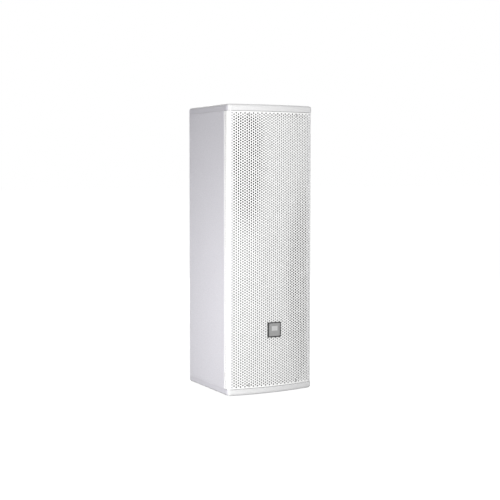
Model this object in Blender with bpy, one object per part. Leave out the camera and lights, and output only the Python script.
"""Compact two-way installation loudspeaker: two woofers above and below a horn, in a bowed-front cabinet.

Metres, +Z up. The origin is the centre of the base of the bounding box, the front looks along -Y,
and the cabinet stands upright on its bottom panel.
"""

import math

import bmesh
import bpy
from mathutils import Euler, Matrix, Vector

# ---------------------------------------------------------------- driving dimensions
HEIGHT = 0.710
WIDTH = 0.249  # between the front corners, before they are rounded
DEPTH = 0.265  # crown of the bowed front to the back
BOW = 0.0145  # rise of the bowed front over the chord between its corners
SIDE_TAPER = math.radians(7.9)
BOARD = 0.016
GAP = 0.0003  # between touching pieces

FRONT_CORNER_R = 0.010
REAR_CORNER_R = 0.008
EDGE_R = 0.006  # rounded outer edges of the top and bottom boards

GRILLE_INSET = 0.0008
GRILLE_T = 0.0010
GRILLE_RETURN = 0.022  # how far the grille's side returns reach behind the corner
FOAM_T = 0.004  # glued to the back of the grille
FOAM_HOLE_R = 0.007  # clearance round the badge's pivot
CLEAT_H = 0.014
GRILLE_SCREW_X = 0.070
GRILLE_SCREW_DROP = 0.0079  # below the top board and above the bottom one

BAFFLE_SETBACK = 0.0425  # crown of the front to the baffle's face
BAFFLE_T = 0.016
WOOFER_Z = (0.1325, 0.5775)
WOOFER_NAMES = ("lower", "upper")
HORN_Z = 0.355
PORT_X = 0.062
PORT_Z = 0.2485
PORT_R = 0.018
PORT_LENGTH = 0.090

BADGE_Z = 0.158
BADGE_SIDE = 0.037
BADGE_T = 0.004
BADGE_GAP = 0.0005

DISH_Z = 0.150
DISH_POCKET = (0.106, 0.096)
DISH_FLANGE = (0.133, 0.123)
DISH_DEPTH = 0.026
DISH_WALL = 0.0016

# ---------------------------------------------------------------- derived places
BADGE_PROUD = BADGE_GAP + BADGE_T - GRILLE_INSET
BACK_Y = (DEPTH + BADGE_PROUD) / 2
APEX_Y = BACK_Y - DEPTH
CORNER_Y = APEX_Y + BOW
BOW_R = ((WIDTH / 2) ** 2 + BOW**2) / (2 * BOW)
BOW_CENTRE = Vector((0, APEX_Y + BOW_R))
SIDE_NORMAL = Vector((math.cos(SIDE_TAPER), math.sin(SIDE_TAPER)))
SIDE_OFFSET = SIDE_NORMAL.dot(Vector((WIDTH / 2, CORNER_Y)))
BAFFLE_Y = APEX_Y + BAFFLE_SETBACK
INNER_BACK_Y = BACK_Y - BOARD
INNER_LOW, INNER_HIGH = BOARD + GAP, HEIGHT - BOARD - GAP
FOAM_INSET = GRILLE_INSET + GRILLE_T + GAP
SIDE_FRONT_INSET = 0.006

FACING_FRONT = (math.pi / 2, 0, 0)  # local +Z looks along world -Y, local +Y is up
FACING_BACK = (math.pi / 2, 0, math.pi)  # local +Z looks along world +Y, local +Y is up


# ---------------------------------------------------------------- mesh helpers
def finished(bm):
    """The mesh of a closed bmesh, with its faces pointing out."""
    bmesh.ops.recalc_face_normals(bm, faces=bm.faces)
    mesh = bpy.data.meshes.new("shape")
    bm.to_mesh(mesh)
    bm.free()
    return mesh


def loft(rings, closed=False):
    """Skins equal rings of points in order: capped at both ends, or closed onto the first ring."""
    bm = bmesh.new()
    loops = [[bm.verts.new(p) for p in ring] for ring in rings]
    pairs = list(zip(loops, loops[1:] + loops[:1] if closed else loops[1:]))
    for a, b in pairs:
        for i in range(len(a)):
            j = (i + 1) % len(a)
            bm.faces.new((a[i], a[j], b[j], b[i]))
    if not closed:
        bm.faces.new(loops[0])
        bm.faces.new(loops[-1])
    return finished(bm)


def prism(points, low, high):
    """A flat outline in X and Y, extruded from z = low to z = high."""
    return loft([[(x, y, z) for x, y in points] for z in (low, high)])


def circle(radius, segments, z=0.0):
    """A ring of points about a local Z axis."""
    turns = (2 * math.pi * i / segments for i in range(segments))
    return [(radius * math.cos(t), radius * math.sin(t), z) for t in turns]


def turned(profile, segments, ring=False):
    """A profile of (radius, z) turned about local Z: a solid capped at both ends, or a closed ring."""
    return loft([circle(r, segments, z) for r, z in profile], closed=ring)


def box(low, high):
    """An axis-aligned block between two corners."""
    outline = [(low[0], low[1]), (high[0], low[1]), (high[0], high[1]), (low[0], high[1])]
    return prism(outline, low[2], high[2])


def rod(radius, start, end, segments=10):
    """A round bar between two points."""
    start, end = Vector(start), Vector(end)
    turn = (end - start).to_track_quat("Z", "Y")
    rings = [[turn @ Vector(p) + at for p in circle(radius, segments)] for at in (start, end)]
    return loft(rings)


def rounded(half_w, half_h, corner_r, z, steps=3):
    """A rounded rectangle as a ring, or a circle where the corner radius equals both halves."""
    ring = []
    for quarter in range(4):
        way = math.pi / 2 * quarter
        across = half_w - corner_r if quarter in (0, 3) else corner_r - half_w
        up = half_h - corner_r if quarter in (0, 1) else corner_r - half_h
        for step in range(steps):
            turn = way + math.pi / 2 * (step + 0.5) / steps
            ring.append((across + corner_r * math.cos(turn), up + corner_r * math.sin(turn), z))
    return ring


def together(*meshes):
    """Several cutters as one mesh."""
    bm = bmesh.new()
    for mesh in meshes:
        bm.from_mesh(mesh)
    return finished(bm)


def boolean(mesh, tools, operation):
    """The mesh after one exact Boolean with each tool mesh."""
    body = bpy.data.objects.new("boolean_body", mesh)
    bpy.context.collection.objects.link(body)
    helpers = []
    for tool_mesh in tools:
        tool = bpy.data.objects.new("boolean_tool", tool_mesh)
        bpy.context.collection.objects.link(tool)
        step = body.modifiers.new("step", "BOOLEAN")
        step.object, step.operation, step.solver = tool, operation, "EXACT"
        helpers.append(tool)
    bpy.context.view_layer.update()
    result = bpy.data.meshes.new_from_object(body.evaluated_get(bpy.context.evaluated_depsgraph_get()))
    for helper in [body, *helpers]:
        bpy.data.objects.remove(helper)
    return result


def cut(mesh, *tools):
    return boolean(mesh, tools, "DIFFERENCE")


def fused(mesh, *tools):
    return boolean(mesh, tools, "UNION")


# ---------------------------------------------------------------- objects
def group(name, location, rotation=(0.0, 0.0, 0.0)):
    """An empty that carries one assembly."""
    empty = bpy.data.objects.new(name, None)
    empty.location, empty.rotation_euler = location, rotation
    bpy.context.collection.objects.link(empty)
    return empty


def part(name, mesh, colour, roughness, metallic=0.0, parent=None, location=(0.0, 0.0, 0.0), smooth=True):
    """One named sub-part with a material of its own."""
    material = bpy.data.materials.new(name)
    material.use_nodes = True
    shader = material.node_tree.nodes["Principled BSDF"]
    shader.inputs["Base Color"].default_value = (*colour, 1.0)
    shader.inputs["Roughness"].default_value = roughness
    shader.inputs["Metallic"].default_value = metallic
    mesh.name = name
    mesh.materials.clear()
    mesh.materials.append(material)
    if smooth:
        mesh.shade_smooth()
        mesh.set_sharp_from_angle(angle=math.radians(35))
    item = bpy.data.objects.new(name, mesh)
    item.location, item.parent = location, parent
    bpy.context.collection.objects.link(item)
    return item


# ---------------------------------------------------------------- cabinet plan
def side_point(inset, arc_inset):
    """Where the right side, moved in by inset, meets the bowed front, moved in by arc_inset."""
    offset = SIDE_OFFSET - inset
    away = offset - SIDE_NORMAL.dot(BOW_CENTRE)
    along = math.sqrt((BOW_R - arc_inset) ** 2 - away**2)
    point = BOW_CENTRE + SIDE_NORMAL * away - Vector((-SIDE_NORMAL.y, SIDE_NORMAL.x)) * along
    return point


def side_x(inset, y):
    """x on the right side, moved in by inset, at depth y."""
    return (SIDE_OFFSET - inset - SIDE_NORMAL.y * y) / SIDE_NORMAL.x


FRONT_CENTRE = side_point(FRONT_CORNER_R, FRONT_CORNER_R)
REAR_CENTRE = Vector((side_x(REAR_CORNER_R, BACK_Y - REAR_CORNER_R), BACK_Y - REAR_CORNER_R))
FRONT_TURN = math.atan2(FRONT_CENTRE.y - BOW_CENTRE.y, FRONT_CENTRE.x - BOW_CENTRE.x)


def arc(centre, radius, start, end, steps):
    """Points along an arc, both ends included."""
    turns = (start + (end - start) * i / steps for i in range(steps + 1))
    return [(centre[0] + radius * math.cos(t), centre[1] + radius * math.sin(t)) for t in turns]


def mirrored(points):
    """The same outline on the other side of the X = 0 plane, still anticlockwise."""
    return [(-x, y) for x, y in reversed(points)]


def plan_outline(inset):
    """The cabinet's outline seen from above, moved in by inset."""
    right = arc(FRONT_CENTRE, FRONT_CORNER_R - inset, FRONT_TURN, SIDE_TAPER, 4)
    right += arc(REAR_CENTRE, REAR_CORNER_R - inset, SIDE_TAPER, math.pi / 2, 4)
    bow = arc(BOW_CENTRE, BOW_R - inset, -math.pi - FRONT_TURN, FRONT_TURN, 14)
    return bow[1:-1] + right + mirrored(right)


def panel_edge(inset, y):
    """Left and right points on the cabinet's sides, moved in by inset, at depth y."""
    return [(-side_x(inset, y), y), (side_x(inset, y), y)]


def cross_board(inset, front_y, back_y):
    """The outline of a board that spans from side to side between two depths."""
    return panel_edge(inset, front_y) + panel_edge(inset, back_y)[::-1]


def sheet(outer, inner, low, high):
    """A bent sheet standing on edge, between an outer and an inner path seen from above."""
    rings = []
    for (ox, oy), (ix, iy) in zip(outer, inner):
        rings.append([(ox, oy, low), (ox, oy, high), (ix, iy, high), (ix, iy, low)])
    return loft(rings)


# ---------------------------------------------------------------- fasteners
def socket_screw(head_r, head_h, shank_r, shank_l, segments=8):
    """A screw with a driving socket in its head: head above z = 0, shank below."""
    socket_r, socket_depth = 0.5 * head_r, 0.6 * head_h
    profile = [(shank_r, -shank_l), (shank_r, 0.0), (head_r, 0.0), (head_r, head_h)]
    profile += [(socket_r, head_h), (socket_r, head_h - socket_depth)]
    return turned(profile, segments)


def drill(radius, start, end, segments=8):
    """A straight drill along local Z."""
    return turned([(radius, start), (radius, end)], segments)


def placed(mesh, location, rotation=(0.0, 0.0, 0.0)):
    """A copy of the mesh, turned and moved."""
    mesh = mesh.copy()
    mesh.transform(Matrix.Translation(location) @ Euler(rotation).to_matrix().to_4x4())
    return mesh


def at_each(mesh, places):
    """A cutter repeated at each (location, rotation)."""
    return together(*[placed(mesh, location, rotation) for location, rotation in places])


# ---------------------------------------------------------------- fly points
FLY_BORE_R = 0.0042
FLY_BARREL_R = 0.0058
FLY_FLANGE_R = 0.0083
FLY_FLANGE_T = 0.0015
FLY_LENGTH = 0.013
FLY_DEEP = 0.0012  # the insert's mouth below the panel's face
FLY_Y = 0.010
FLY_PLACES = {
    "top_fly_insert": ((0.0, FLY_Y, HEIGHT), (0.0, 0.0, 0.0)),
    "bottom_fly_insert": ((0.0, FLY_Y, 0.0), (math.pi, 0.0, 0.0)),
    "rear_fly_insert": ((0.0, BACK_Y, 0.650), FACING_BACK),
}


def fly_seat():
    """The stepped hole for one insert, from a panel's face at z = 0."""
    step = -FLY_DEEP - FLY_FLANGE_T - GAP
    wide, narrow = FLY_FLANGE_R + GAP, FLY_BARREL_R + GAP
    return turned([(narrow, -2 * BOARD), (narrow, step), (wide, step), (wide, BOARD)], 12)


def with_fly_seat(mesh, name):
    return cut(mesh, placed(fly_seat(), *FLY_PLACES[name]))


def make_fly_points():
    mouth, foot = -FLY_DEEP, -FLY_DEEP - FLY_LENGTH
    step = mouth - FLY_FLANGE_T
    profile = [(FLY_BORE_R, mouth), (FLY_FLANGE_R, mouth), (FLY_FLANGE_R, step), (FLY_BARREL_R, step)]
    profile += [(FLY_BARREL_R, foot), (FLY_BORE_R, foot)]
    for name, place in FLY_PLACES.items():
        insert = placed(turned(profile, 12, ring=True), *place)
        part(name, insert, (0.62, 0.60, 0.52), 0.35, 1.0)


# ---------------------------------------------------------------- cabinet
PAINT = (0.72, 0.72, 0.735)
PLYWOOD = (0.55, 0.43, 0.28)


def rounded_board(face_z, inner_z):
    """An end board: flat inside, with its outer edge rounded all the way round."""
    away = 1 if face_z > inner_z else -1
    shoulder = face_z - away * EDGE_R
    levels = [(0.0, inner_z), (0.0, shoulder)]
    for step in (1, 2, 3):
        turn = step * math.pi / 6
        levels.append((EDGE_R * (1 - math.cos(turn)), shoulder + away * EDGE_R * math.sin(turn)))
    return loft([[(x, y, z) for x, y in plan_outline(inset)] for inset, z in levels])


def make_end_panels():
    top = with_fly_seat(rounded_board(HEIGHT, HEIGHT - BOARD), "top_fly_insert")
    part("top_panel", top, PAINT, 0.6)
    bottom = with_fly_seat(rounded_board(0.0, BOARD), "bottom_fly_insert")
    part("bottom_panel", bottom, PAINT, 0.6)


def side_outline():
    """The right side panel from above, rebated for the grille's return."""
    rebate = GRILLE_INSET + GRILLE_T + GAP
    shoulder_y = CORNER_Y + GRILLE_RETURN + GAP
    nose_turn = math.radians(-35)
    inner_front = side_point(BOARD, SIDE_FRONT_INSET)
    nose = side_point(FRONT_CORNER_R, SIDE_FRONT_INSET)
    points = [tuple(inner_front), tuple(nose)]
    points += arc(FRONT_CENTRE, FRONT_CORNER_R - rebate, nose_turn, SIDE_TAPER, 3)
    points += [(side_x(rebate, shoulder_y), shoulder_y), (side_x(0.0, shoulder_y), shoulder_y)]
    points += arc(REAR_CENTRE, REAR_CORNER_R, SIDE_TAPER, math.pi / 2, 4)
    points.append((side_x(BOARD, BACK_Y), BACK_Y))
    return points


def make_side_panels():
    part("right_side_panel", prism(side_outline(), INNER_LOW, INNER_HIGH), PAINT, 0.6)
    part("left_side_panel", prism(mirrored(side_outline()), INNER_LOW, INNER_HIGH), PAINT, 0.6)


def make_back_panel():
    panel = prism(cross_board(BOARD + GAP, INNER_BACK_Y, BACK_Y), INNER_LOW, INNER_HIGH)
    centre = (0.0, BACK_Y, DISH_Z)
    rebate = rounded_block(DISH_FLANGE, DISH_CLEAR, DISH_FLANGE_BACK - GAP, BOARD)
    opening = rounded_block(DISH_POCKET, DISH_WALL + DISH_CLEAR, -2 * BOARD, BOARD)
    pilots = at_each(drill(DISH_HOLE_R, -2 * BOARD, BOARD), DISH_SCREWS)
    tools = [placed(tool, centre, FACING_BACK) for tool in (rebate, opening, pilots)]
    panel = cut(panel, *tools)
    part("back_panel", with_fly_seat(panel, "rear_fly_insert"), PAINT, 0.6)


def make_baffle():
    board = prism(cross_board(BOARD + GAP, BAFFLE_Y, BAFFLE_Y + BAFFLE_T), INNER_LOW, INNER_HIGH)
    through = (-2 * BAFFLE_T, BAFFLE_T)
    tools = []
    for z in WOOFER_Z:
        opening = drill(WOOFER_CUTOUT_R, *through, segments=WOOFER_SIDES)
        tools.append(placed(opening, (0.0, BAFFLE_Y, z), FACING_FRONT))
        pilots = at_each(drill(WOOFER_HOLE_R, *through), WOOFER_SCREWS)
        tools.append(placed(pilots, (0.0, BAFFLE_Y, z), FACING_FRONT))
    horn_hole = loft([rounded(*HORN_CUTOUT, HORN_CORNER_R + 0.004, z, HORN_STEPS) for z in through])
    horn_pilots = at_each(drill(HORN_HOLE_R, *through), HORN_SCREWS)
    tools += [placed(tool, (0.0, BAFFLE_Y, HORN_Z), FACING_FRONT) for tool in (horn_hole, horn_pilots)]
    port_hole = drill(PORT_R + PORT_WALL + 0.0005, *through, segments=16)
    tools += [placed(port_hole, place, FACING_FRONT) for place in PORT_PLACES.values()]
    part("baffle", cut(board, *tools), PLYWOOD, 0.75)


BRACE_T = 0.012
BRACE_Z = (0.2355, 0.4745)
BRACE_FRONT_Y = 0.020
BRACE_MARGIN = 0.012


def make_braces():
    for name, z in zip(("lower_brace", "upper_brace"), BRACE_Z):
        back_y = INNER_BACK_Y - GAP
        board = prism(cross_board(BOARD + GAP, BRACE_FRONT_Y, back_y), z - BRACE_T / 2, z + BRACE_T / 2)
        window_x = side_x(BOARD, back_y) - BRACE_MARGIN
        low = (-window_x, BRACE_FRONT_Y + BRACE_MARGIN, z - BRACE_T)
        high = (window_x, back_y - BRACE_MARGIN, z + BRACE_T)
        part(name, cut(board, box(low, high)), PLYWOOD, 0.8, smooth=False)


LINING_T = 0.009
LINING_Z = (0.020, 0.690)
LINING_FRONT_Y = -0.040


def make_lining():
    """An absorbent sheet on each side, notched around the two braces."""
    back_y = INNER_BACK_Y - 2 * GAP
    near, far = BOARD + GAP, BOARD + GAP + LINING_T
    outline = [(side_x(far, LINING_FRONT_Y), LINING_FRONT_Y), (side_x(near, LINING_FRONT_Y), LINING_FRONT_Y)]
    outline += [(side_x(near, back_y), back_y), (side_x(far, back_y), back_y)]
    notches = []
    for z in BRACE_Z:
        reach = BRACE_T / 2 + 2 * GAP
        notches.append(box((-WIDTH, BRACE_FRONT_Y - 2 * GAP, z - reach), (WIDTH, BACK_Y, z + reach)))
    for name, points in (("right_lining", outline), ("left_lining", mirrored(outline))):
        sheet_body = cut(prism(points, *LINING_Z), *notches)
        part(name, sheet_body, (0.80, 0.80, 0.78), 0.95, smooth=False)


# ---------------------------------------------------------------- ports
PORT_WALL = 0.002
PORT_FLANGE_R = PORT_R + 0.005
PORT_PLACES = {"left_port": (-PORT_X, BAFFLE_Y, PORT_Z), "right_port": (PORT_X, BAFFLE_Y, PORT_Z)}


def make_ports():
    outer = PORT_R + PORT_WALL
    profile = [(PORT_R + 0.0035, 0.0033), (PORT_FLANGE_R, 0.0025), (PORT_FLANGE_R, GAP), (outer, GAP)]
    profile += [(outer, -PORT_LENGTH), (PORT_R, -PORT_LENGTH), (PORT_R, -0.008)]
    for name, place in PORT_PLACES.items():
        axis = group(name + "_axis", place, FACING_FRONT)
        part(name, turned(profile, 20, ring=True), (0.06, 0.06, 0.06), 0.6, 0.0, axis)


# ---------------------------------------------------------------- grille
GRILLE_LOW, GRILLE_HIGH = INNER_LOW + 2 * GAP, INNER_HIGH - 2 * GAP
GRILLE_Z = (BOARD + GRILLE_SCREW_DROP, HEIGHT - BOARD - GRILLE_SCREW_DROP)
GRILLE_HEAD_R = 0.003
PIVOT_HOLE_R = 0.0033


def shell_path(inset):
    """The bent sheet's path from the left return, round the bowed front, to the right return."""
    end_y = CORNER_Y + GRILLE_RETURN
    corner = arc(FRONT_CENTRE, FRONT_CORNER_R - inset, FRONT_TURN, SIDE_TAPER, 5)
    bow = arc(BOW_CENTRE, BOW_R - inset, -math.pi - FRONT_TURN, FRONT_TURN, 14)
    right = corner + [(side_x(inset, end_y), end_y)]
    return mirrored(right) + bow[1:-1] + right


def on_grille(x, z):
    """The place and turn of something that stands on the grille's face."""
    turn = math.asin(x / (BOW_R - GRILLE_INSET))
    y = BOW_CENTRE.y - (BOW_R - GRILLE_INSET) * math.cos(turn)
    return (x, y, z), (math.pi / 2, 0.0, turn)


GRILLE_SCREWS = {}
for level, z in zip(("bottom", "top"), GRILLE_Z):
    GRILLE_SCREWS[f"{level}_left_grille_screw"] = on_grille(-GRILLE_SCREW_X, z)
    GRILLE_SCREWS[f"{level}_right_grille_screw"] = on_grille(GRILLE_SCREW_X, z)
BADGE_PLACE = on_grille(0.0, BADGE_Z)[0]


def make_grille():
    shell = sheet(shell_path(GRILLE_INSET), shell_path(GRILLE_INSET + GRILLE_T), GRILLE_LOW, GRILLE_HIGH)
    holes = at_each(drill(0.0019, -0.004, 0.004), GRILLE_SCREWS.values())
    pivot_hole = placed(drill(PIVOT_HOLE_R, -0.004, 0.004, 12), BADGE_PLACE, FACING_FRONT)
    part("grille", cut(shell, holes, pivot_hole), (0.90, 0.90, 0.89), 0.45, 0.2)
    for name, place in GRILLE_SCREWS.items():
        screw = placed(socket_screw(GRILLE_HEAD_R, 0.0014, 0.0014, 0.012, 10), (0.0, 0.0, GAP))
        part(name, screw, (0.20, 0.20, 0.21), 0.4, 1.0, group(name + "_axis", *place))


def bowed_filler(front_inset, back_inset, low, high):
    """A bowed sheet between the side panels' inner faces."""
    side_inset = BOARD + GAP
    paths = []
    for inset in (front_inset, back_inset):
        end = side_point(side_inset, inset)
        turn = math.atan2(end.y - BOW_CENTRE.y, end.x - BOW_CENTRE.x)
        paths.append(arc(BOW_CENTRE, BOW_R - inset, -math.pi - turn, turn, 12))
    return sheet(*paths, low, high)


def make_grille_backing():
    low, high = INNER_LOW + CLEAT_H + GAP, INNER_HIGH - CLEAT_H - GAP
    foam = bowed_filler(FOAM_INSET, FOAM_INSET + FOAM_T, low, high)
    pivot_hole = placed(drill(FOAM_HOLE_R, -0.010, 0.004, 16), BADGE_PLACE, FACING_FRONT)
    part("grille_foam", cut(foam, pivot_hole), (0.70, 0.70, 0.68), 0.95)
    side_inset, back_y = BOARD + GAP, BAFFLE_Y - GAP
    front_inset = GRILLE_INSET + GRILLE_T + GAP
    end = side_point(side_inset, front_inset)
    turn = math.atan2(end.y - BOW_CENTRE.y, end.x - BOW_CENTRE.x)
    outline = arc(BOW_CENTRE, BOW_R - front_inset, -math.pi - turn, turn, 10)
    outline += panel_edge(side_inset, back_y)[::-1]
    pilots = at_each(drill(0.0018, -0.018, 0.004), GRILLE_SCREWS.values())
    lower = cut(prism(outline, INNER_LOW + GAP / 2, INNER_LOW + CLEAT_H), pilots)
    part("lower_grille_cleat", lower, PAINT, 0.7, smooth=False)
    upper = cut(prism(outline, INNER_HIGH - CLEAT_H, INNER_HIGH - GAP / 2), pilots)
    part("upper_grille_cleat", upper, PAINT, 0.7, smooth=False)


# ---------------------------------------------------------------- badge
BADGE_CORNER_R = 0.0012
BADGE_RIM = 0.0022
BADGE_RECESS = 0.0012


def square_rings(levels):
    """Rings of rounded squares from (half side, z)."""
    return [rounded(half, half, BADGE_CORNER_R, z) for half, z in levels]


def make_badge():
    turntable = group("badge_axis", BADGE_PLACE, FACING_FRONT)
    back, front = BADGE_GAP, BADGE_GAP + BADGE_T
    outer, inner = BADGE_SIDE / 2, BADGE_SIDE / 2 - BADGE_RIM
    recess = front - BADGE_RECESS
    bezel = loft(square_rings([(outer, back), (outer, front), (inner, front), (inner, recess)]))
    tail, collar = -0.0058, -GRILLE_T - GAP
    post = [(0.0022, tail), (0.0029, tail + 0.0008), (0.0029, collar - 0.0012), (0.0055, collar - 0.0012)]
    post += [(0.0055, collar), (0.0029, collar), (0.0029, recess - 0.0012)]
    holder = fused(bezel, turned(post, 12))
    part("badge_holder", holder, (0.10, 0.10, 0.11), 0.35, 0.6, turntable)
    half, low, high = inner - GAP, recess + GAP, front - 0.0003
    bar_w, bar_h = 0.0075, 0.004
    plate = loft(square_rings([(half, low), (half, high)]))
    bar = box((-bar_w, 0.001, low + 0.0002), (bar_w, 0.001 + 2 * bar_h, front))
    part("badge_plate", fused(plate, bar), (0.42, 0.42, 0.43), 0.3, 0.9, turntable)


# ---------------------------------------------------------------- woofers
WOOFER_SIDES = 24
FRAME_R = 0.1015
RIM_OUTER_R, RIM_INNER_R = 0.0905, 0.0870
WOOFER_CUTOUT_R = 0.0915
WOOFER_HOLE_R = 0.0028
SCREW_CIRCLE_R = 0.0968
FLANGE_BACK_Z, FLANGE_FRONT_Z = 0.0021, 0.0061
HUB_Z = (-0.0570, -0.0430)
HUB_R = 0.0660
CONE_EDGE_R, CONE_NECK_R = 0.0760, 0.0260
CONE_EDGE_Z, CONE_NECK_Z = 0.0056, -0.0365
COIL_R = 0.0256
POLE_R = 0.0243
WOOFER_SCREWS = []
for quarter in range(4):
    angle = math.pi / 4 + quarter * math.pi / 2
    place = (SCREW_CIRCLE_R * math.cos(angle), SCREW_CIRCLE_R * math.sin(angle), 0.0)
    WOOFER_SCREWS.append((place, (0.0, 0.0, 0.0)))


def cone_z(radius):
    """The front surface of the paper cone, which flares towards its edge."""
    share = (radius - CONE_NECK_R) / (CONE_EDGE_R - 0.002 - CONE_NECK_R)
    return CONE_NECK_Z + (CONE_EDGE_Z - CONE_NECK_Z) * share**0.9


def woofer_basket():
    skirt = -0.0120
    rim = [(FRAME_R, FLANGE_BACK_Z), (FRAME_R, FLANGE_FRONT_Z), (RIM_INNER_R, FLANGE_FRONT_Z)]
    rim += [(RIM_INNER_R, skirt), (RIM_OUTER_R, skirt), (RIM_OUTER_R, FLANGE_BACK_Z)]
    low, high = HUB_Z
    eye_r, seat_r, web = 0.0300, 0.0560, low + 0.003
    hub = [(eye_r, low), (HUB_R, low), (HUB_R, high), (seat_r, high), (seat_r, web), (eye_r, web)]
    spokes = []
    for sixth in range(6):
        turn = math.pi / 6 + sixth * math.pi / 3
        outline = [(-0.006, 0.0), (0.006, 0.0), (0.006, 0.003), (-0.006, 0.003)]
        ends = ((HUB_R - 0.003, high - 0.006), (RIM_OUTER_R - 0.003, skirt + 0.003))
        rings = []
        for radius, z in ends:
            rings.append([Matrix.Rotation(turn, 3, "Z") @ Vector((radius + b, a, z)) for a, b in outline])
        spokes.append(loft(rings))
    frame = fused(turned(rim, WOOFER_SIDES, ring=True), turned(hub, WOOFER_SIDES, ring=True), *spokes)
    return cut(frame, at_each(drill(WOOFER_HOLE_R, -0.002, 0.010), WOOFER_SCREWS))


def woofer_surround():
    """A half-roll rubber edge with flat lands glued to the frame and to the cone."""
    thick, land, roll_r = 0.0008, FLANGE_FRONT_Z + GAP, 0.0054
    inner, outer = CONE_EDGE_R - 0.0020, 0.0915
    middle = (CONE_EDGE_R + RIM_INNER_R) / 2
    front, back = [(inner, land + thick)], []
    inside, steps = roll_r - thick, 5
    for step in range(steps + 1):
        turn = math.pi * (1 - step / steps)
        front.append((middle + roll_r * math.cos(turn), land + thick + roll_r * math.sin(turn)))
        back.append((middle + inside * math.cos(turn), land + inside * math.sin(turn)))
    front.append((outer, land + thick))
    back = [(inner, land)] + back + [(outer, land)]
    return turned(front + back[::-1], WOOFER_SIDES, ring=True)


def woofer_cone():
    thick = 0.0010
    radii = [CONE_NECK_R + (CONE_EDGE_R - 0.002 - CONE_NECK_R) * step / 3 for step in range(4)]
    front = [(CONE_NECK_R, CONE_NECK_Z)] + [(r, cone_z(r)) for r in radii[1:]]
    front.append((CONE_EDGE_R, CONE_EDGE_Z))
    back = [(CONE_NECK_R, CONE_NECK_Z - 0.0025)] + [(r, cone_z(r) - 1.4 * thick) for r in radii[1:]]
    back.append((CONE_EDGE_R, CONE_EDGE_Z - thick))
    return turned(front + back[::-1], WOOFER_SIDES, ring=True)


def dome_profile(base_r, base_z, rise, thick, steps=3):
    """A shallow dome shell, from its outer edge over the crown and back underneath."""
    sphere_r = (base_r**2 + rise**2) / (2 * rise)
    spread = math.asin(base_r / sphere_r)
    outside, inside = [], []
    for step in range(steps + 1):
        turn = spread * (1 - step / (steps + 0.15))
        crown = base_z + rise - sphere_r
        outside.append((sphere_r * math.sin(turn), crown + sphere_r * math.cos(turn)))
        inside.append(((sphere_r - thick) * math.sin(turn), crown + (sphere_r - thick) * math.cos(turn)))
    return inside[::-1] + outside


def woofer_dust_cap():
    base_r = 0.0300
    return turned(dome_profile(base_r, cone_z(base_r) + 0.0012, 0.0090, 0.0008), 20)


def woofer_voice_coil():
    former_in, former_out, wire_out = 0.0250, COIL_R, 0.0266
    top, wire_top, wire_low, foot = -0.0372, -0.0540, -0.0680, -0.0740
    profile = [(former_in, top), (former_in, foot), (former_out, foot), (former_out, wire_low)]
    profile += [(wire_out, wire_low), (wire_out, wire_top), (former_out, wire_top), (former_out, top)]
    return turned(profile, 20, ring=True)


def woofer_spider():
    """A corrugated suspension disc from the former to the hub's seat."""
    inner, outer, rest, thick = COIL_R + 0.0008, 0.0620, HUB_Z[1] + GAP, 0.0008
    steps, wave = 8, 0.0012
    front = []
    for step in range(steps + 1):
        share = step / steps
        lift = wave * math.sin(share * 4 * math.pi + math.pi / 4) if share < 0.75 else 0.0
        front.append((inner + (outer - inner) * share, rest + thick + max(lift, -wave)))
    back = [(r, z - thick) for r, z in front]
    return turned(front + back[::-1], 20, ring=True)


def ring_block(inner, outer, back, front, segments=24):
    """A plain ring between two heights."""
    return turned([(inner, back), (outer, back), (outer, front), (inner, front)], segments, ring=True)


def woofer_yoke():
    vent, plate_r, foot, step, tip = 0.0080, 0.0550, -0.0919, -0.0839, -0.0573
    profile = [(vent, foot), (plate_r, foot), (plate_r, step), (POLE_R, step), (POLE_R, tip), (vent, tip)]
    return turned(profile, 24, ring=True)


def make_woofers():
    for name, z in zip(WOOFER_NAMES, WOOFER_Z):
        axis = group(f"{name}_woofer_axis", (0.0, BAFFLE_Y, z), FACING_FRONT)
        prefix = f"{name}_woofer_"
        part(prefix + "basket", woofer_basket(), (0.10, 0.10, 0.11), 0.5, 0.7, axis)
        part(prefix + "surround", woofer_surround(), (0.03, 0.03, 0.03), 0.7, 0.0, axis)
        part(prefix + "cone", woofer_cone(), (0.05, 0.05, 0.055), 0.8, 0.0, axis)
        part(prefix + "dust_cap", woofer_dust_cap(), (0.04, 0.04, 0.045), 0.6, 0.0, axis)
        part(prefix + "voice_coil", woofer_voice_coil(), (0.65, 0.35, 0.18), 0.35, 0.9, axis)
        part(prefix + "spider", woofer_spider(), (0.55, 0.40, 0.12), 0.85, 0.0, axis)
        top_plate = ring_block(0.0275, 0.0520, -0.0653, HUB_Z[0] - GAP)
        part(prefix + "top_plate", top_plate, (0.55, 0.56, 0.58), 0.35, 1.0, axis)
        magnet = ring_block(0.0330, 0.0600, -0.0836, -0.0656)
        part(prefix + "magnet", magnet, (0.12, 0.12, 0.125), 0.7, 0.1, axis)
        part(prefix + "yoke", woofer_yoke(), (0.55, 0.56, 0.58), 0.35, 1.0, axis)


# ---------------------------------------------------------------- horn and compression driver
HORN_FLANGE = (0.101, 0.081)
HORN_MOUTH = (0.088, 0.068)
HORN_CUTOUT = (0.092, 0.072)
HORN_CORNER_R = 0.016
HORN_STEPS = 6
HORN_HOLE_R = 0.0024
HORN_WALL = 0.0025
HORN_FRONT_Z, HORN_THROAT_Z = 0.0048, -0.093
THROAT_R = 0.0127
HORN_SCREWS = [((x, y, 0.0), (0.0, 0.0, 0.0)) for x in (-0.0915, 0.0915) for y in (-0.0715, 0.0715)]


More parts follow.
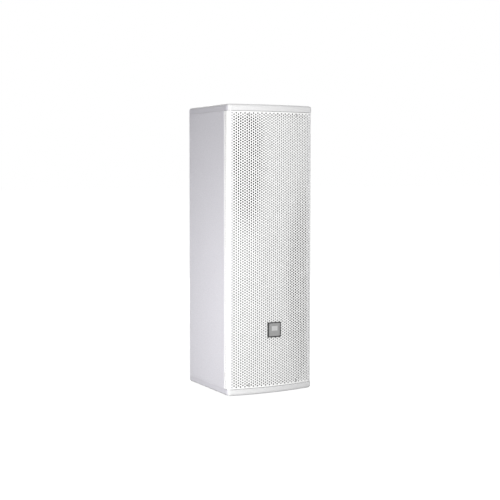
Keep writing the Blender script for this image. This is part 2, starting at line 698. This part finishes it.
def horn_station(share, wall, z):
    """A ring of the flare, share 0 at the throat and 1 at the mouth."""
    swell = share**1.6
    half_w = THROAT_R + (HORN_MOUTH[0] - THROAT_R) * swell + wall
    half_h = THROAT_R + (HORN_MOUTH[1] - THROAT_R) * swell + wall
    corner_r = THROAT_R + (HORN_CORNER_R - THROAT_R) * swell + wall
    return rounded(half_w, half_h, corner_r, z, HORN_STEPS)


def make_horn():
    shares = (0.0, 0.25, 0.5, 0.75, 1.0)
    reach = HORN_FRONT_Z - HORN_THROAT_Z
    inside = [horn_station(s, 0.0, HORN_THROAT_Z + reach * s) for s in shares]
    flange = [rounded(*HORN_FLANGE, 0.008, z, HORN_STEPS) for z in (HORN_FRONT_Z, GAP)]
    outside = [horn_station(s, HORN_WALL, HORN_THROAT_Z + reach * s) for s in (0.75, 0.5, 0.25)]
    neck_z = HORN_THROAT_Z + 0.008
    throat = [rounded(0.030, 0.030, 0.030, z, HORN_STEPS) for z in (neck_z, HORN_THROAT_Z)]
    mouth_back = [horn_station(1.0, HORN_WALL, GAP)]
    neck_r = THROAT_R + 0.006
    neck = [rounded(neck_r, neck_r, neck_r, neck_z, HORN_STEPS)]
    flare = loft(inside + flange + mouth_back + outside + neck + throat, closed=True)
    flare = cut(flare, at_each(drill(HORN_HOLE_R, -0.010, 0.010), HORN_SCREWS))
    axis = group("horn_axis", (0.0, BAFFLE_Y, HORN_Z), FACING_FRONT)
    part("horn_flare", flare, (0.04, 0.04, 0.042), 0.45, 0.0, axis)
    return axis


def diaphragm(edge_z, coil_foot):
    """A thin dome that bulges backwards, with its coil former in front and a flat rim round it."""
    former_in, former_out, rim_r, rim_front, rim_back = 0.0221, 0.0226, 0.0330, 0.0004, -0.0005
    shell = [(r, edge_z - z) for r, z in dome_profile(former_out, 0.0, 0.0080, 0.0005)]
    half = len(shell) // 2
    profile = shell[: half - 1] + [(former_in, edge_z), (former_in, coil_foot), (former_out, coil_foot)]
    profile += [(former_out, edge_z + rim_front), (rim_r, edge_z + rim_front), (rim_r, edge_z + rim_back)]
    profile += [(former_out, edge_z + rim_back)] + shell[half + 1 :]
    return turned(profile, 20)


def make_compression_driver(axis):
    back = HORN_THROAT_Z - GAP
    plate_back = back - 0.008
    pole_tip = back - 0.0292
    pole = [(THROAT_R, back), (0.0430, back), (0.0430, plate_back), (0.0215, plate_back)]
    pole += [(0.0215, pole_tip), (0.0150, pole_tip)]
    part("driver_pole_piece", turned(pole, 24, ring=True), (0.10, 0.10, 0.11), 0.4, 0.9, axis)
    magnet = ring_block(0.0260, 0.0450, plate_back - 0.0123, plate_back - GAP)
    part("driver_magnet", magnet, (0.12, 0.12, 0.125), 0.7, 0.1, axis)
    top_front = plate_back - 0.0126
    top_back = top_front - 0.006
    top_plate = ring_block(0.0232, 0.0430, top_back, top_front)
    part("driver_top_plate", top_plate, (0.10, 0.10, 0.11), 0.4, 0.9, axis)
    dome = diaphragm(pole_tip - 0.0012, top_front + 0.002)
    part("driver_diaphragm", dome, (0.62, 0.62, 0.64), 0.3, 1.0, axis)
    outer, wall, rim, crown = 0.0430, 0.0025, top_back - GAP, top_back - 0.0260
    cap = [(outer - wall, crown + wall), (outer - wall, rim), (outer, rim), (outer, crown + 0.004)]
    cap.append((outer - 0.005, crown))
    part("driver_cap", turned(cap, 24), (0.05, 0.05, 0.05), 0.45, 0.2, axis)


# ---------------------------------------------------------------- rear input dish
DISH_FLANGE_BACK, DISH_FLANGE_FRONT = -0.0038, -0.0018
DISH_CLEAR = 0.0005
DISH_HOLE_R = 0.0018
DISH_CORNER_R = 0.006
DISH_SCREWS = [((x, y, 0.0), (0.0, 0.0, 0.0)) for x in (-0.0598, 0.0598) for y in (-0.0548, 0.0548)]
FLOOR_Z = DISH_WALL - DISH_DEPTH  # the pocket's floor, below the cabinet's back face
SOCKET_PLACES = {"left_socket": (0.026, -0.022), "right_socket": (-0.026, -0.022)}
STRIP_PLACE = (-0.014, 0.024)
SWITCH_PLACE = (0.037, 0.024)
TERMINAL_X = (-0.021, -0.007, 0.007, 0.021)
HINGE_Y, HINGE_Z = 0.0135, 0.0125


def rounded_block(size, grow, low, high):
    """A rounded rectangle of the given full size, grown by a margin, between two heights."""
    half_w, half_h = size[0] / 2 + grow, size[1] / 2 + grow
    return loft([rounded(half_w, half_h, DISH_CORNER_R + grow, z) for z in (low, high)])


def make_dish():
    axis = group("input_axis", (0.0, BACK_Y, DISH_Z), FACING_BACK)
    walls = [
        (DISH_POCKET, DISH_WALL, -DISH_DEPTH),
        (DISH_POCKET, DISH_WALL, DISH_FLANGE_BACK),
        (DISH_FLANGE, 0.0, DISH_FLANGE_BACK),
        (DISH_FLANGE, 0.0, DISH_FLANGE_FRONT),
        (DISH_POCKET, 0.0, DISH_FLANGE_FRONT),
        (DISH_POCKET, 0.0, FLOOR_Z),
    ]
    rings = []
    for (width, height), grow, z in walls:
        rings.append(rounded(width / 2 + grow, height / 2 + grow, DISH_CORNER_R + grow, z))
    through = (-2 * DISH_DEPTH, FLOOR_Z + DISH_WALL)
    tools = [at_each(drill(DISH_HOLE_R, -DISH_DEPTH, 0.002), DISH_SCREWS)]
    for x, y in SOCKET_PLACES.values():
        tools.append(placed(drill(0.0120, *through, 16), (x, y, 0.0)))
    tools.append(placed(drill(0.0046, *through, 12), (*SWITCH_PLACE, 0.0)))
    x, y = STRIP_PLACE
    tools.append(box((x - 0.022, y - 0.003, through[0]), (x + 0.022, y + 0.003, through[1])))
    part("input_dish", cut(loft(rings), *tools), (0.08, 0.08, 0.085), 0.5, 0.5, axis)
    return axis


def make_sockets(axis):
    barrel = [(0.0115, -0.022), (0.0115, 0.005), (0.0095, 0.005), (0.0095, -0.010)]
    barrel += [(0.0040, -0.010), (0.0040, -0.004)]
    slab = loft([rounded(0.0130, 0.0155, 0.003, z) for z in (GAP, 0.0023)])
    bore = drill(0.0095, -0.0035, 0.006, 16)
    for name, (x, y) in SOCKET_PLACES.items():
        body = fused(cut(slab, drill(0.0105, -0.001, 0.004, 16)), cut(turned(barrel, 16), bore))
        part(name, body, (0.05, 0.05, 0.055), 0.4, 0.0, axis, (x, y, FLOOR_Z))


def make_barrier_strip(axis):
    base = box((-0.0335, -0.008, GAP), (0.0335, 0.008, 0.004))
    block = box((-0.030, -0.008, 0.001), (0.030, 0.008, 0.0108))
    ears = [box((x - 0.001, -0.004, 0.001), (x + 0.001, 0.0162, 0.0152)) for x in (-0.0325, 0.0325)]
    tools = [box((x - 0.0055, -0.0065, 0.005), (x + 0.0055, 0.0065, 0.012)) for x in TERMINAL_X]
    tools += [placed(drill(0.0018, 0.0015, 0.006), (x, 0.0, 0.0)) for x in TERMINAL_X]
    tools.append(rod(0.0016, (-0.036, HINGE_Y, HINGE_Z), (0.036, HINGE_Y, HINGE_Z)))
    place = (*STRIP_PLACE, FLOOR_Z)
    strip = cut(fused(base, block, *ears), *tools)
    part("barrier_strip", strip, (0.05, 0.05, 0.05), 0.6, 0.0, axis, place, smooth=False)
    window = box((-0.0305, -0.009 - HINGE_Y, 0.0113 - HINGE_Z), (0.0305, -0.0010, 0.0128 - HINGE_Z))
    barrel = rod(0.0022, (-0.0310, 0.0, 0.0), (0.0310, 0.0, 0.0))
    pins = rod(0.0012, (-0.0333, 0.0, 0.0), (0.0333, 0.0, 0.0))
    x, y = STRIP_PLACE
    hinge = (x, y + HINGE_Y, FLOOR_Z + HINGE_Z)
    cover = fused(window, barrel, pins)
    part("terminal_cover", cover, (0.80, 0.82, 0.84), 0.15, 0.0, axis, hinge, smooth=False)


def make_mode_switch(axis):
    place = (*SWITCH_PLACE, FLOOR_Z)
    back = -DISH_WALL - GAP
    body = fused(box((-0.008, -0.008, -0.016), (0.008, 0.008, back)), drill(0.0043, -0.010, 0.0020, 12))
    body = cut(body, drill(0.0034, -0.0130, 0.004, 12))
    part("switch_body", body, (0.05, 0.05, 0.05), 0.6, 0.0, axis, place)
    profile = [(0.0030, -0.0120), (0.0030, 0.0024), (0.0088, 0.0024), (0.0080, 0.0130)]
    pointer = box((-0.0007, 0.001, 0.0120), (0.0007, 0.0076, 0.0138))
    knob = fused(turned(profile, 16), pointer)
    part("switch_knob", knob, (0.03, 0.03, 0.03), 0.45, 0.0, axis, place)


# ---------------------------------------------------------------- crossover
CROSSOVER_Z = (0.500, 0.620)
CROSSOVER_X = 0.050
STANDOFF = 0.008
PCB_T = 0.0016
PCB_Y = INNER_BACK_Y - STANDOFF - PCB_T  # the face that carries the components


def on_board(mesh, x, z, sink=0.0):
    """A component that stands on the board at (x, z), or that is soldered into it by sink."""
    return placed(mesh, (x, PCB_Y - GAP + sink, z), FACING_FRONT)


def make_crossover():
    low, high = CROSSOVER_Z
    board = box((-CROSSOVER_X, PCB_Y, low), (CROSSOVER_X, PCB_Y + PCB_T, high))
    corners = [(x, z) for x in (-0.044, 0.044) for z in (low + 0.006, high - 0.006)]
    joined = [rod(0.004, (x, PCB_Y + 0.0008, z), (x, INNER_BACK_Y - GAP, z)) for x, z in corners]
    capacitor = turned([(0.0100, 0.0), (0.0105, 0.001), (0.0105, 0.029), (0.0095, 0.030)], 10)
    joined += [on_board(capacitor, x, z, 2 * GAP) for x in (-0.036, -0.012) for z in (0.567, 0.594)]
    resistor = box((-0.018, -0.005, 0.0), (0.018, 0.005, 0.009))
    joined += [on_board(resistor, 0.025, z, 2 * GAP) for z in (0.562, 0.577, 0.592)]
    part("crossover_board", fused(board, *joined), (0.06, 0.20, 0.09), 0.5, smooth=False)
    for name, x in (("woofer_choke", -0.024), ("horn_choke", 0.024)):
        coil = on_board(ring_block(0.009, 0.021, 0.0, 0.022, 20), x, 0.529)
        part(name, coil, (0.65, 0.33, 0.15), 0.35, 0.9)


# ---------------------------------------------------------------- internal wiring
WIRE_R = 0.0025
WIRE_STEPS = 3
FLOOR_Y = BACK_Y + FLOOR_Z
PLUG = (0.0, PCB_Y - 0.007, 0.492)
PLUG_SIZE = (0.030, 0.011, 0.012)
WIRE_ROUTES = (
    # from the right socket, up through both braces, to the plug
    [(0.026, FLOOR_Y - 0.0235, 0.128), (0.0258, 0.077, 0.132), (0.021, 0.066, 0.200), (0.018, 0.070, 0.300),
     (0.014, 0.078, 0.420), (0.011, 0.092, 0.465), (0.011, PLUG[1], 0.490)],
    # from the plug down to the lower woofer
    [(-0.004, PLUG[1], 0.490), (-0.006, 0.092, 0.465), (-0.024, 0.076, 0.400), (-0.032, 0.068, 0.280),
     (-0.034, 0.056, 0.222), (-0.054, 0.020, 0.165), (-0.0668, -0.018, 0.136), (-0.0700, -0.034, 0.1325)],
    # from the plug around the board to the upper woofer
    [(-0.011, PLUG[1], 0.490), (-0.030, 0.090, 0.487), (-0.053, 0.078, 0.510), (-0.0545, 0.050, 0.560),
     (-0.0655, -0.012, 0.576), (-0.0700, -0.034, 0.5775)],
    # from the plug down to the compression driver
    [(0.004, PLUG[1], 0.490), (0.005, 0.094, 0.465), (0.010, 0.088, 0.430), (0.014, 0.084, 0.385),
     (0.015, 0.070, 0.358), (0.015, 0.0600, 0.355)],
)


def smooth_route(points, steps):
    """Points along a smooth curve through the route's own points."""
    ends = [points[0], *points, points[-1]]
    route = []
    for before, start, end, after in zip(ends, ends[1:], ends[2:], ends[3:]):
        before, start, end, after = map(Vector, (before, start, end, after))
        for step in range(steps):
            t = step / steps
            bend = (2 * before - 5 * start + 4 * end - after) * t**2
            twist = (3 * start - before - 3 * end + after) * t**3
            route.append((2 * start + (end - before) * t + bend + twist) / 2)
    return route + [Vector(points[-1])]


def wire(points):
    """A jacketed pair of wires as one capped tube along a route."""
    curve = bpy.data.curves.new("wire", "CURVE")
    curve.dimensions = "3D"
    curve.bevel_depth, curve.bevel_resolution, curve.use_fill_caps = WIRE_R, 2, True
    route = smooth_route(points, WIRE_STEPS)
    spline = curve.splines.new("POLY")
    spline.points.add(len(route) - 1)
    for point, at in zip(spline.points, route):
        point.co = (*at, 1.0)
    guide = bpy.data.objects.new("wire", curve)
    bpy.context.collection.objects.link(guide)
    bpy.context.view_layer.update()
    mesh = bpy.data.meshes.new_from_object(guide.evaluated_get(bpy.context.evaluated_depsgraph_get()))
    bpy.data.objects.remove(guide)
    bm = bmesh.new()
    bm.from_mesh(mesh)
    bmesh.ops.remove_doubles(bm, verts=bm.verts, dist=1e-5)
    return finished(bm)


def make_harness():
    """All the wires, moulded into the plug below the crossover board."""
    middle, half = Vector(PLUG), Vector(PLUG_SIZE) / 2
    plug = box(middle - half, middle + half)
    harness = fused(plug, *[wire(points) for points in WIRE_ROUTES])
    part("wiring_harness", harness, (0.05, 0.05, 0.05), 0.55)


# ---------------------------------------------------------------- build
def clear_scene():
    for item in list(bpy.data.objects):
        bpy.data.objects.remove(item)


def build():
    clear_scene()
    make_end_panels()
    make_side_panels()
    make_back_panel()
    make_baffle()
    make_braces()
    make_lining()
    make_ports()
    make_fly_points()
    make_grille()
    make_grille_backing()
    make_badge()
    make_woofers()
    make_compression_driver(make_horn())
    input_axis = make_dish()
    make_sockets(input_axis)
    make_barrier_strip(input_axis)
    make_mode_switch(input_axis)
    make_crossover()
    make_harness()


build()
